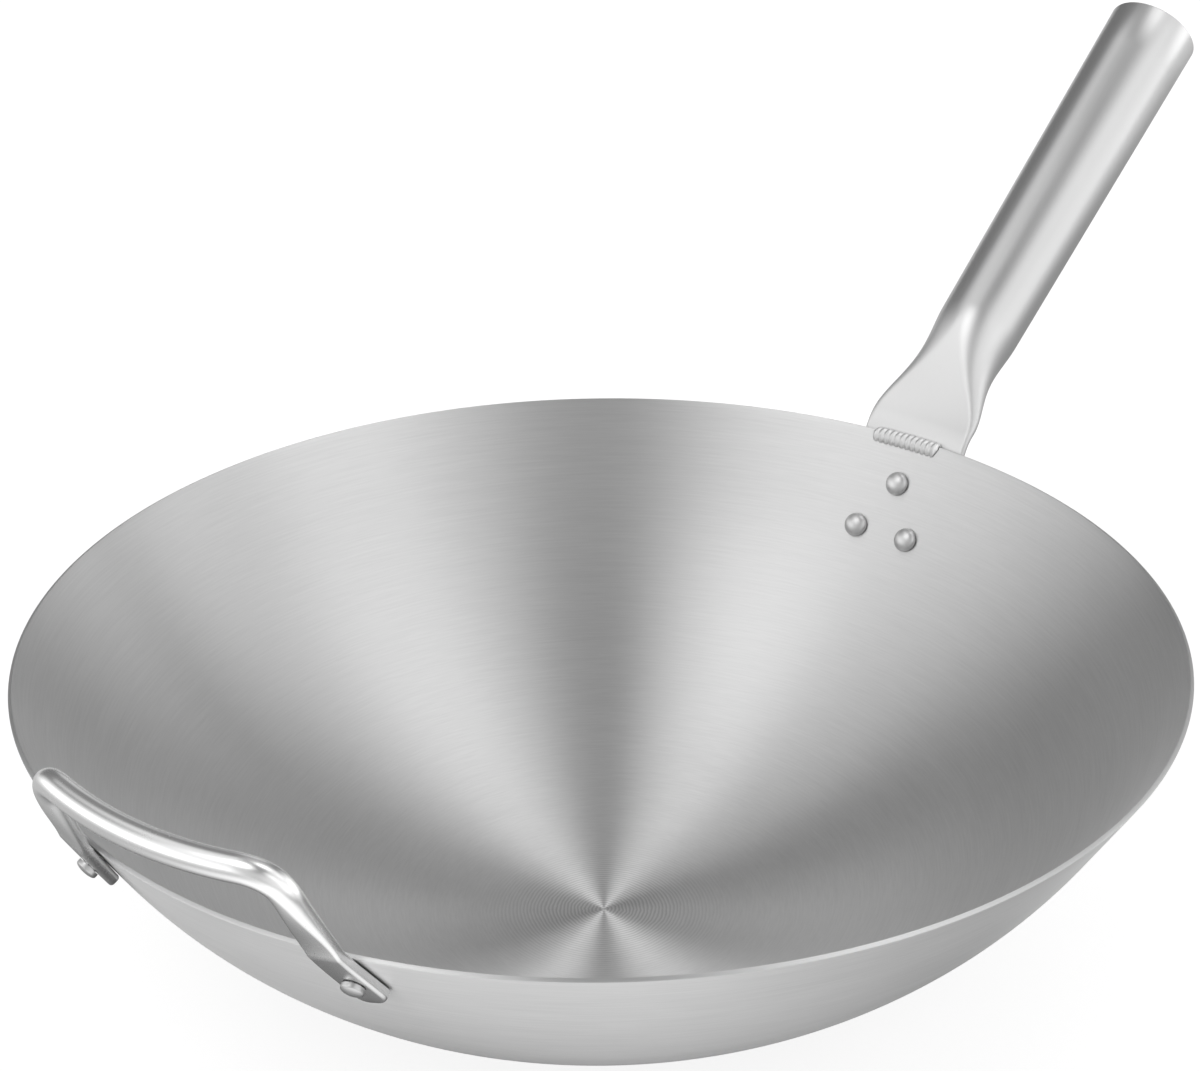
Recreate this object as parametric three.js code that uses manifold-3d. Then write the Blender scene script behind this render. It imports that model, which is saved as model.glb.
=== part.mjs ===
// A stainless steel wok: a bowl spun from one sheet, a tapered tube handle that is flattened against the wall
// and held there by three rivets and a weld over the rim, and opposite it a bent rod loop held by two rivets.
// Millimetres, +Z up. The origin is the middle of the flat base's underside; the tube handle points along +X.
import * as THREE from "three";
import { mergeVertices } from "three/addons/utils/BufferGeometryUtils.js";
import Module from "manifold-3d";

const wasm = await Module();
wasm.setup();

// Driving dimensions, in millimetres unless a name says otherwise

const CLEARANCE = 0.3; // left between pieces that seat on one another

// Bowl, measured on its outside
const MOUTH_RADIUS = 180;
const BOWL_HEIGHT = 99;
const BASE_FLAT_RADIUS = 28;
const STRAIGHT_WALL = 28; // straight stretch of the wall below the rim
const BOWL_SHEET = 1.5;

// Tube handle, with lengths along the handle from the rim
const TUBE_RISE_DEGREES = 33.6; // above the horizontal
const TUBE_LENGTH = 188;
const TUBE_SHEET = 1.2;
const TUBE_END_DIAMETER = 33;
const TUBE_ROOT_DIAMETER = 29.4;
const FLAT_WIDTH = 40; // across the flattened stretch
const FLAT_LENGTH = 8; // full width above the rim
const THROAT_LENGTH = 42; // from full width to round; the tube begins to open where its bend starts
const BEND_START = 2;
const BEND_RADIUS = 14;
const TAB_MARGIN = 12; // from the lower rivets to the end of the tab
const TAB_CORNER = 12;

// Rivets: a domed head inside the bowl and an upset tail outside
const HEAD_DIAMETER = 8.2;
const HEAD_HEIGHT = 2.6;
const SHANK_DIAMETER = 4.6;
const TAIL_DIAMETER = 6.8;
const TAIL_HEIGHT = 2.2;
const TUBE_RIVET_DROP = 16.5; // from the rim down the wall to the upper rivet
const TUBE_RIVET_PITCH = 20.4; // side of the triangle of three rivets

// Weld over the rim, in front of the flattened tube
const WELD_LENGTH = 25.4;
const WELD_SHIFT = 1.6; // its middle lies this far to the left of the handle's, seen from inside the bowl
const WELD_ABOVE = 1.4; // from the rim up the face of the tube
const WELD_BELOW = 5; // from the rim down the inner face of the wall
const WELD_PROUD = 1.2; // past the inner face of the wall
const WELD_RIPPLES = 12;
const WELD_RIPPLE_DEPTH = 0.5;
const WELD_END_HEIGHT = 0.35; // share of the proud height at the bead's ends
const WELD_RIPPLE_BOW = 0.9; // each ripple's middle lies this far ahead of its ends

// Loop handle, laid out flat on the wall: across along the rim, and up or down from the rim
const ROD_DIAMETER = 8.4;
const LOOP_RISE = 36; // from the rim up to the middle of the grip
const SHOULDER_HALF_SPAN = 38.9;
const KNEE_HALF_SPAN = 46.6; // where the legs cross the rim
const LOOP_RIVET_HALF_SPAN = 50;
const LOOP_RIVET_DROP = 9.3;
const SHOULDER_BEND = 10; // length of leg and of grip that each shoulder takes up
const KNEE_BEND = 5; // the same for each knee; its upper end is the heel, where the leg leaves the wall
const GRIP_LEAN_IN = 4.2; // of the grip's ends, inside the line of the wall's outer face
const GRIP_BOW = 2.4; // outwards, of the grip's middle
const FOOT_THICKNESS = 3.6; // pressed flat up to the heel, then easing to the round grip
const FOOT_WIDTH = 10.8;
const FOOT_EDGE = 1.2; // rounding of the pressed section's edges
const FOOT_MARGIN = 10; // from the rivet to the end of the foot
const FOOT_CORNER = 3;

// Fineness of the facets
const BOWL_SIDES = 80;
const TURN_STEPS = 12;
const TUBE_SIDES = 36;
const EDGE_STEPS = 4; // round each edge of the rod's section
const RIVET_SIDES = 18;
const DOME_STEPS = 4;
const BEAD_STEPS = 7; // over the bead's arch
const RIPPLE_STEPS = 4;

// Wall of the bowl: an arc that leaves the flat base level and runs into the straight stretch below the rim

const wallReach = MOUTH_RADIUS - BASE_FLAT_RADIUS;
const turnRadius = (wallReach ** 2 + BOWL_HEIGHT ** 2 - STRAIGHT_WALL ** 2) / (2 * BOWL_HEIGHT);
const wallLean = Math.atan2(wallReach, turnRadius - BOWL_HEIGHT) - Math.atan2(STRAIGHT_WALL, turnRadius);

// Slope of the wall, `drop` below the rim along it
function leanAt(drop) {
  return wallLean - Math.max(drop - STRAIGHT_WALL, 0) / turnRadius;
}

// Radius and height of a point `out` from the wall's outer face; above the rim the straight stretch runs on
function offWall(drop, out) {
  const lean = leanAt(drop);
  const point =
    drop > STRAIGHT_WALL
      ? new THREE.Vector2(BASE_FLAT_RADIUS + turnRadius * Math.sin(lean), turnRadius * (1 - Math.cos(lean)))
      : new THREE.Vector2(MOUTH_RADIUS - drop * Math.cos(lean), BOWL_HEIGHT - drop * Math.sin(lean));
  return point.add(new THREE.Vector2(Math.sin(lean), -Math.cos(lean)).multiplyScalar(out));
}

// A point at a radius and a height, turned about the bowl's axis from +X
function around({ x: radius, y: height }, turn) {
  return new THREE.Vector3(radius * Math.cos(turn), radius * Math.sin(turn), height);
}

// Direction that points straight out of the wall
function wallNormal(drop, turn) {
  const lean = leanAt(drop);
  return around({ x: Math.sin(lean), y: -Math.cos(lean) }, turn);
}

// Shape helpers

// A closed skin through rings of points that turn left about the way the rings advance, capped at the ends
function loft(rings) {
  const count = rings[0].length;
  const centre = (ring) => ring.reduce((sum, p) => sum.add(p), new THREE.Vector3()).divideScalar(count);
  const points = [...rings.flat(), centre(rings[0]), centre(rings.at(-1))];
  const lastRing = (rings.length - 1) * count;
  const firstCentre = rings.length * count;
  const faces = [];
  for (let i = 0; i < count; i += 1) {
    const next = (i + 1) % count;
    for (let row = 0; row < lastRing; row += count) {
      faces.push(row + i, row + next, row + count + next);
      faces.push(row + i, row + count + next, row + count + i);
    }
    faces.push(firstCentre, next, i);
    faces.push(firstCentre + 1, lastRing + i, lastRing + next);
  }
  const geometry = new THREE.BufferGeometry().setFromPoints(points);
  geometry.setIndex(faces);
  geometry.computeVertexNormals();
  return geometry;
}

// Points round a flat oval with half-round ends, evenly spaced, turning left from the middle of its top
function flatOval(width, thickness, count) {
  const radius = thickness / 2;
  const half = (width - thickness) / 2;
  const outline = new THREE.Path()
    .moveTo(0, radius)
    .lineTo(-half, radius)
    .absarc(-half, 0, radius, Math.PI / 2, (3 * Math.PI) / 2, false)
    .lineTo(half, -radius)
    .absarc(half, 0, radius, -Math.PI / 2, Math.PI / 2, false)
    .lineTo(0, radius);
  return outline.getSpacedPoints(count).slice(0, count);
}

// Width of a strip, `along` from its end, where the corners of that end are rounded
function roundedEnd(width, corner, along) {
  const left = Math.max(corner - along, 0);
  return width - 2 * (corner - Math.sqrt(corner ** 2 - left ** 2));
}

// Points round a bar with rounded edges, or round a rod where the edge is half of both sizes, turning left
function barSection(width, thickness, edge) {
  const quarters = [
    [1, 1],
    [-1, 1],
    [-1, -1],
    [1, -1],
  ];
  return quarters.flatMap(([right, up], quarter) => {
    const centre = new THREE.Vector2(right * (width / 2 - edge), up * (thickness / 2 - edge));
    return [...Array(EDGE_STEPS).keys()].map((step) => {
      const angle = (Math.PI / 2) * (quarter + (step + 0.5) / EDGE_STEPS);
      return new THREE.Vector2(Math.cos(angle), Math.sin(angle)).multiplyScalar(edge).add(centre);
    });
  });
}

// Turned about +Z
function revolve(profile, sides) {
  return new THREE.LatheGeometry(profile, sides).rotateX(Math.PI / 2);
}

function toSolid(geometry) {
  const bare = new THREE.BufferGeometry();
  bare.setAttribute("position", geometry.getAttribute("position"));
  bare.setIndex(geometry.index);
  const merged = mergeVertices(bare);
  const corners = merged.index.array;
  const triVerts = [];
  for (let i = 0; i < corners.length; i += 3) {
    const [a, b, c] = corners.slice(i, i + 3);
    if (a !== b && b !== c && c !== a) triVerts.push(a, b, c);
  }
  const vertProperties = merged.getAttribute("position").array;
  const mesh = new wasm.Mesh({ numProp: 3, vertProperties, triVerts: new Uint32Array(triVerts) });
  return new wasm.Manifold(mesh);
}

function toGeometry(solid) {
  const { vertProperties, triVerts } = solid.getMesh();
  const geometry = new THREE.BufferGeometry();
  geometry.setAttribute("position", new THREE.BufferAttribute(vertProperties, 3));
  geometry.setIndex(new THREE.BufferAttribute(triVerts, 1));
  geometry.computeVertexNormals();
  return geometry;
}

// Finishes

const steel = (color, roughness) => new THREE.MeshStandardMaterial({ color, roughness, metalness: 1 });
const brushedSteel = steel(0xb9babb, 0.34);
const satinSteel = steel(0xc4c5c6, 0.3);
const polishedSteel = steel(0xd2d3d4, 0.12);
const weldSteel = steel(0xa3a4a6, 0.4);

const wok = new THREE.Group();

function addPiece(name, geometry, material) {
  const mesh = new THREE.Mesh(geometry, material);
  mesh.name = name;
  wok.add(mesh);
  return mesh;
}

// Rivets: each one's place on the wall, and the thickness of metal that it holds to the wall's outside

const tabThickness = 2 * TUBE_SHEET;
const lowerRivetDrop = TUBE_RIVET_DROP + TUBE_RIVET_PITCH * Math.sin(Math.PI / 3);
const tubeTurn = (drop, across) => across / offWall(drop, 0).x;
const loopTurn = (across) => Math.PI + across / MOUTH_RADIUS;

const tubeRivets = [
  { name: "handle_rivet_upper", drop: TUBE_RIVET_DROP, across: 0 },
  { name: "handle_rivet_lower_left", drop: lowerRivetDrop, across: TUBE_RIVET_PITCH / 2 },
  { name: "handle_rivet_lower_right", drop: lowerRivetDrop, across: -TUBE_RIVET_PITCH / 2 },
].map((rivet) => ({ ...rivet, turn: tubeTurn(rivet.drop, rivet.across), held: tabThickness }));

const loopRivets = [
  { name: "loop_rivet_left", across: -LOOP_RIVET_HALF_SPAN },
  { name: "loop_rivet_right", across: LOOP_RIVET_HALF_SPAN },
].map((rivet) => ({ ...rivet, drop: LOOP_RIVET_DROP, turn: loopTurn(rivet.across), held: FOOT_THICKNESS }));

const rivets = [...tubeRivets, ...loopRivets];

// Sets a piece that was made along +Z, with its zero on the wall's outer face, square to the wall
function placeOnWall(object, { drop, turn }) {
  object.position.copy(around(offWall(drop, 0), turn));
  object.quaternion.setFromUnitVectors(new THREE.Vector3(0, 0, 1), wallNormal(drop, turn));
  return object;
}

function drill(geometry, places) {
  const radius = SHANK_DIAMETER / 2 + CLEARANCE;
  const length = 4 * (BOWL_SHEET + tabThickness + FOOT_THICKNESS);
  return places.reduce((drilled, place) => {
    const drillBit = new THREE.CylinderGeometry(radius, radius, length, RIVET_SIDES).rotateX(Math.PI / 2);
    const set = placeOnWall(new THREE.Object3D(), place);
    set.updateMatrix();
    return drilled.subtract(toSolid(drillBit.applyMatrix4(set.matrix)));
  }, toSolid(geometry));
}

function rivetGeometry(held) {
  const headSeat = -BOWL_SHEET - CLEARANCE;
  const tailSeat = held + 2 * CLEARANCE;
  const quarter = (step) => (Math.PI / 2) * (step / DOME_STEPS);
  const steps = [...Array(DOME_STEPS + 1).keys()];
  const head = steps.map(quarter).map((angle) => {
    const height = headSeat - HEAD_HEIGHT * Math.cos(angle);
    return new THREE.Vector2((HEAD_DIAMETER / 2) * Math.sin(angle), height);
  });
  const shank = [headSeat, tailSeat].map((height) => new THREE.Vector2(SHANK_DIAMETER / 2, height));
  const tail = steps.map(quarter).map((angle) => {
    const height = tailSeat + (TAIL_HEIGHT / 2) * (1 + Math.sin(angle));
    return new THREE.Vector2((TAIL_DIAMETER / 2) * Math.cos(angle), height);
  });
  return revolve([...head, ...shank, new THREE.Vector2(TAIL_DIAMETER / 2, tailSeat), ...tail], RIVET_SIDES);
}

// Bowl

function bowlGeometry() {
  const outer = [new THREE.Vector2(0, 0)];
  const inner = [new THREE.Vector2(0, BOWL_SHEET)];
  for (let step = 0; step <= TURN_STEPS; step += 1) {
    const drop = STRAIGHT_WALL + turnRadius * wallLean * (1 - step / TURN_STEPS);
    outer.push(offWall(drop, 0));
    inner.push(offWall(drop, -BOWL_SHEET));
  }
  outer.push(offWall(0, 0));
  inner.push(offWall(0, -BOWL_SHEET));
  return revolve([...outer, ...inner.reverse()], BOWL_SIDES);
}

addPiece("wok_bowl", toGeometry(drill(bowlGeometry(), rivets)), brushedSteel);

// Tube handle: a flat tab along the wall that bends away above the rim, opens to round and widens to its end

const tubeRise = THREE.MathUtils.degToRad(TUBE_RISE_DEGREES);
const tabDrop = lowerRivetDrop + TAB_MARGIN;
const bendEnd = BEND_START + BEND_RADIUS * (wallLean - tubeRise);
const roundStart = FLAT_LENGTH + THROAT_LENGTH;

// Middle line of the handle at a distance along it from the rim: radius and height, and its slope
function tubeLine(along) {
  const middle = CLEARANCE + tabThickness / 2;
  if (along <= BEND_START) return { place: offWall(-along, middle), slope: leanAt(-along) };
  const start = offWall(-BEND_START, middle);
  const slope = wallLean - (Math.min(along, bendEnd) - BEND_START) / BEND_RADIUS;
  const bent = new THREE.Vector2(Math.sin(wallLean) - Math.sin(slope), Math.cos(slope) - Math.cos(wallLean));
  const straight = new THREE.Vector2(Math.cos(slope), Math.sin(slope));
  straight.multiplyScalar(Math.max(along - bendEnd, 0));
  return { place: start.add(bent.multiplyScalar(BEND_RADIUS)).add(straight), slope };
}

// How far the tube has opened from flat, 0, to round, 1
function opening(along) {
  return THREE.MathUtils.smoothstep(along, BEND_START, roundStart);
}

function tubeThickness(along) {
  const taper = THREE.MathUtils.clamp((along - roundStart) / (TUBE_LENGTH - roundStart), 0, 1);
  const diameter = THREE.MathUtils.lerp(TUBE_ROOT_DIAMETER, TUBE_END_DIAMETER, taper);
  return THREE.MathUtils.lerp(tabThickness, diameter, opening(along));
}

function tubeWidth(along) {
  const narrowed = THREE.MathUtils.smoothstep(along, FLAT_LENGTH, roundStart);
  const full = THREE.MathUtils.lerp(FLAT_WIDTH, tubeThickness(along), narrowed);
  return roundedEnd(full, TAB_CORNER, along + tabDrop);
}

// One ring round the handle, `inset` inside its outer face; the flat stretch is curled to the wall's round
function tubeRing(along, inset) {
  const { place, slope } = tubeLine(along);
  const curl = 1 - opening(along);
  const oval = flatOval(tubeWidth(along) - 2 * inset, tubeThickness(along) - 2 * inset, TUBE_SIDES);
  return oval.map(({ x: across, y: up }) => {
    const radius = place.x - up * Math.sin(slope);
    const height = place.y + up * Math.cos(slope);
    const curled = around({ x: radius, y: height }, across / place.x);
    return new THREE.Vector3(radius, across, height).lerp(curled, curl);
  });
}

function tubeGeometry() {
  const steps = (from, to, count) => [...Array(count).keys()].map((i) => from + ((to - from) * i) / count);
  const tab = [0, 0.05, 0.2, 0.5].map((share) => share * TAB_CORNER - tabDrop);
  const flat = [...steps(TAB_CORNER - tabDrop, BEND_START, 4), ...steps(BEND_START, bendEnd, 3), bendEnd];
  const throat = [...steps(FLAT_LENGTH, roundStart, 9), roundStart];
  const bore = throat.filter((along) => tubeThickness(along) > tabThickness + TUBE_SHEET);
  const outer = [...tab, ...flat, ...throat, TUBE_LENGTH].map((along) => tubeRing(along, 0));
  const inner = [...bore, TUBE_LENGTH].map((along) => tubeRing(along, TUBE_SHEET));
  return loft([...outer, ...inner.reverse()]);
}

addPiece("handle_tube", toGeometry(drill(tubeGeometry(), tubeRivets)), satinSteel);

// Weld: a bead of overlapping ripples that laps from the face of the flattened tube over the rim

// One ring of the bead, an arch that stands on the line of the wall's outer face, lowered between the ripples
// and tapered off at the bead's ends
function weldRing(across, lowered, fullness) {
  const taper = THREE.MathUtils.lerp(WELD_END_HEIGHT, 1, fullness);
  const half = ((WELD_ABOVE + WELD_BELOW) / 2 - lowered) * Math.sqrt(taper);
  const crown = BOWL_SHEET + CLEARANCE + (WELD_PROUD - lowered) * taper;
  return [...Array(BEAD_STEPS + 1).keys()].map((step) => {
    const angle = Math.PI * (1 - step / BEAD_STEPS);
    const above = (WELD_ABOVE - WELD_BELOW) / 2 + half * Math.cos(angle);
    const ahead = across + WELD_RIPPLE_BOW * Math.sin(angle);
    return around(offWall(-above, -crown * Math.sin(angle)), ahead / MOUTH_RADIUS);
  });
}

// The rim with clearance all round, down to well below the bead
function clearedRim() {
  const foot = 2 * WELD_BELOW;
  const inside = -BOWL_SHEET - CLEARANCE;
  const outside = [offWall(foot, CLEARANCE), offWall(-CLEARANCE, CLEARANCE)];
  const within = [offWall(-CLEARANCE, inside), offWall(foot, inside)];
  return toSolid(revolve([...outside, ...within, outside[0]], BOWL_SIDES));
}

function weldGeometry() {
  const start = WELD_SHIFT - WELD_LENGTH / 2;
  const count = WELD_RIPPLES * RIPPLE_STEPS;
  const rings = [...Array(count + 1).keys()].map((step) => {
    const ripple = Math.abs(Math.sin((Math.PI * step) / RIPPLE_STEPS));
    const fromEnd = Math.min(step, count - step, RIPPLE_STEPS) / RIPPLE_STEPS;
    const fullness = Math.sqrt(1 - (1 - fromEnd) ** 2);
    return weldRing(start + (WELD_LENGTH * step) / count, WELD_RIPPLE_DEPTH * (1 - ripple), fullness);
  });
  return toGeometry(toSolid(loft(rings)).subtract(clearedRim()));
}

addPiece("rim_weld_bead", weldGeometry(), weldSteel);

// Loop handle: one rod, bent to a U and wrapped to the bowl's round, its legs pressed flat against the wall

// Corners of half of the rod's middle line on the unrolled wall
const shoulder = new THREE.Vector2(SHOULDER_HALF_SPAN, LOOP_RISE);
const knee = new THREE.Vector2(KNEE_HALF_SPAN, 0);
const footRivet = new THREE.Vector2(LOOP_RIVET_HALF_SPAN, -LOOP_RIVET_DROP);
const towards = (from, to, length) => to.clone().sub(from).setLength(length).add(from);
const heel = towards(knee, shoulder, KNEE_BEND);

// That half of the line, from the end of one foot to the middle of the grip
function loopHalfLine() {
  const foot = towards(footRivet, knee, -FOOT_MARGIN);
  const toe = towards(foot, footRivet, FOOT_CORNER);
  const kneeIn = towards(knee, footRivet, KNEE_BEND);
  const shoulderIn = towards(shoulder, knee, SHOULDER_BEND);
  const gripStart = shoulder.clone().setX(SHOULDER_HALF_SPAN - SHOULDER_BEND);
  const stretches = [
    [new THREE.LineCurve(foot, toe), 4],
    [new THREE.LineCurve(toe, kneeIn), 4],
    [new THREE.QuadraticBezierCurve(kneeIn, knee, heel), 4],
    [new THREE.LineCurve(heel, shoulderIn), 6],
    [new THREE.QuadraticBezierCurve(shoulderIn, shoulder, gripStart), 8],
    [new THREE.LineCurve(gripStart, shoulder.clone().setX(0)), 5],
  ];
  return stretches.flatMap(([curve, count], i) => curve.getPoints(count).slice(i === 0 ? 0 : 1));
}

// Sizes of the rod's section at a height from the rim: a pressed bar up to the heel, easing to the round grip
function rodSizes(rise) {
  const eased = THREE.MathUtils.smoothstep(rise, heel.y, LOOP_RISE);
  return {
    width: THREE.MathUtils.lerp(FOOT_WIDTH, ROD_DIAMETER, eased),
    thickness: THREE.MathUtils.lerp(FOOT_THICKNESS, ROD_DIAMETER, eased),
    edge: THREE.MathUtils.lerp(FOOT_EDGE, ROD_DIAMETER / 2, eased),
  };
}

// Point of the rod's middle line: seated on the wall up to the heel, from where the leg leans in
function rodMiddle({ x: across, y: rise }) {
  const seated = CLEARANCE + rodSizes(rise).thickness / 2;
  const bow = GRIP_BOW * Math.max(1 - (across / SHOULDER_HALF_SPAN) ** 2, 0);
  const raised = THREE.MathUtils.clamp((rise - heel.y) / (LOOP_RISE - heel.y), 0, 1);
  const out = THREE.MathUtils.lerp(seated, bow - GRIP_LEAN_IN, raised);
  return around(offWall(-rise, out), loopTurn(across));
}

function loopGeometry() {
  const half = loopHalfLine();
  const line = [...half, ...half.slice(0, -1).reverse().map(({ x, y }) => new THREE.Vector2(-x, y))];
  const middles = line.map(rodMiddle);
  const rings = line.map(({ x: across, y: rise }, i) => {
    const before = middles[Math.max(i - 1, 0)];
    const after = middles[Math.min(i + 1, middles.length - 1)];
    const ahead = after.clone().sub(before).normalize();
    const side = wallNormal(-rise, loopTurn(across)).cross(ahead).normalize();
    const up = ahead.clone().cross(side);
    const fromEnd = line[i].distanceTo(line.at(i < half.length ? 0 : -1));
    const { width, thickness, edge } = rodSizes(rise);
    return barSection(roundedEnd(width, FOOT_CORNER, fromEnd), thickness, edge).map(({ x, y }) =>
      middles[i].clone().addScaledVector(side, x).addScaledVector(up, y),
    );
  });
  return loft(rings);
}

addPiece("loop_handle", toGeometry(drill(loopGeometry(), loopRivets)), polishedSteel);

for (const rivet of rivets) {
  placeOnWall(addPiece(rivet.name, rivetGeometry(rivet.held), polishedSteel), rivet);
}

export default wok;
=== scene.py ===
"""Stainless steel wok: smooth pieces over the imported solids, with their finishes, studio light and camera.

Lengths are in metres. The bowl stands on the floor at the origin, and the tube handle points along +X.
"""

import logging
import math
from collections.abc import Callable, Sequence
from dataclasses import dataclass, field
from enum import Enum
from typing import ClassVar

import bmesh
import bpy
from mathutils import Matrix, Vector

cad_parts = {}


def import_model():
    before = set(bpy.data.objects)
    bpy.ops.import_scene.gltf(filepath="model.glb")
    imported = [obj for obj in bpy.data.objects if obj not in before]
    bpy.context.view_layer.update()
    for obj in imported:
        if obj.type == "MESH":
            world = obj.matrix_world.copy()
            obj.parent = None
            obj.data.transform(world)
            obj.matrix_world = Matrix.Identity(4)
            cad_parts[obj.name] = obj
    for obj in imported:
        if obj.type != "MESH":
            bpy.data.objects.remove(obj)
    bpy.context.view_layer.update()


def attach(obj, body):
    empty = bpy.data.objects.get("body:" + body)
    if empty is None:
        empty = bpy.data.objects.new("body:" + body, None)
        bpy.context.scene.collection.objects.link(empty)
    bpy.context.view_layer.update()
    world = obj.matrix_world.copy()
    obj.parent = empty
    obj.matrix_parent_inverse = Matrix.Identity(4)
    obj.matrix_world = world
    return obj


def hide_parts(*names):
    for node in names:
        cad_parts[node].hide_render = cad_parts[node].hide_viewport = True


LOG = logging.getLogger("wok")
CLEARANCE = 0.0003
MERGE_DISTANCE = 0.000002
LEVEL_WITHIN = 0.00001
POINT_SIZE = 0.001
DRILL_SIDES = 40
MARK_HEIGHT = 0.0002
ACROSS_THE_BRUSHING = 0.25
NOISE_ROUGHNESS = 0.55
AXIS_GUARD = 1e-9
WHITE = (1.0, 1.0, 1.0, 1.0)
UP = Vector((0.0, 0.0, 1.0))

Number = float | int


class Slot(Enum):
    """Names of the record's material slots."""

    BOWL = "bowl_steel"
    HANDLE = "handle_steel"
    WELD = "weld_steel"
    ROD = "rod_steel"
    RIVET = "rivet_steel"


class Hold(Enum):
    """What a rivet holds to the wall."""

    TAB = "tab"
    FOOT = "foot"


# Number and point helpers


def mix(low: float, high: float, share: float) -> float:
    """Goes from low at share 0 to high at share 1."""
    return low + (high - low) * share


def smooth(value: float, start: float, end: float) -> float:
    """Eases from 0 at start to 1 at end."""
    share = min(max((value - start) / (end - start), 0.0), 1.0)
    return share * share * (3.0 - 2.0 * share)


def spread(start: float, end: float, count: int) -> list[float]:
    """Gives count evenly spaced values from start up to, and without, end."""
    return [mix(start, end, step / count) for step in range(count)]


def around(radius: float, height: float, turn: float) -> Vector:
    """Point at a radius and a height, turned about the bowl's axis from +X."""
    return Vector((radius * math.cos(turn), radius * math.sin(turn), height))


def flat_oval(width: float, thickness: float, count: int) -> list[tuple[float, float]]:
    """Spaces points evenly round a flat oval with half-round ends.

    Args:
        width: Full width, ends included.
        thickness: Distance between the flat sides.
        count: Number of points.

    Returns:
        Points across and up, turning left from the middle of the upper side.
    """
    radius = thickness / 2
    half = max((width - thickness) / 2, 0.0)
    arc = math.pi * radius
    girth = 4 * half + 2 * arc
    points = []
    for step in range(count):
        run = girth * step / count
        if run <= half:
            points.append((-run, radius))
        elif run <= half + arc:
            turn = math.pi / 2 + (run - half) / radius
            points.append((-half + radius * math.cos(turn), radius * math.sin(turn)))
        elif run <= 3 * half + arc:
            points.append((run - 2 * half - arc, -radius))
        elif run <= 3 * half + 2 * arc:
            turn = -math.pi / 2 + (run - 3 * half - arc) / radius
            points.append((half + radius * math.cos(turn), radius * math.sin(turn)))
        else:
            points.append((girth - run, radius))
    return points


def bar_section(width: float, thickness: float, edge: float, steps: int) -> list[tuple[float, float]]:
    """Sets points round a bar with rounded edges, or round a rod where the edge is half of both sizes.

    Args:
        width: Full width.
        thickness: Full thickness.
        edge: Radius of the rounded edges.
        steps: Points on each edge.

    Returns:
        Points across and up, turning left.
    """
    points = []
    for quarter, (right, up) in enumerate(((1, 1), (-1, 1), (-1, -1), (1, -1))):
        for step in range(steps):
            angle = math.pi / 2 * (quarter + (step + 0.5) / steps)
            across = right * (width / 2 - edge) + edge * math.cos(angle)
            points.append((across, up * (thickness / 2 - edge) + edge * math.sin(angle)))
    return points


def rounded_end(width: float, corner: float, along: float) -> float:
    """Narrows a strip towards an end with rounded corners.

    Args:
        width: Full width.
        corner: Radius of the corners.
        along: Distance from the end.

    Returns:
        The width there.
    """
    left = min(max(corner - along, 0.0), corner)
    return width - 2 * (corner - math.sqrt(corner**2 - left**2))


# Hand tools


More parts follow.
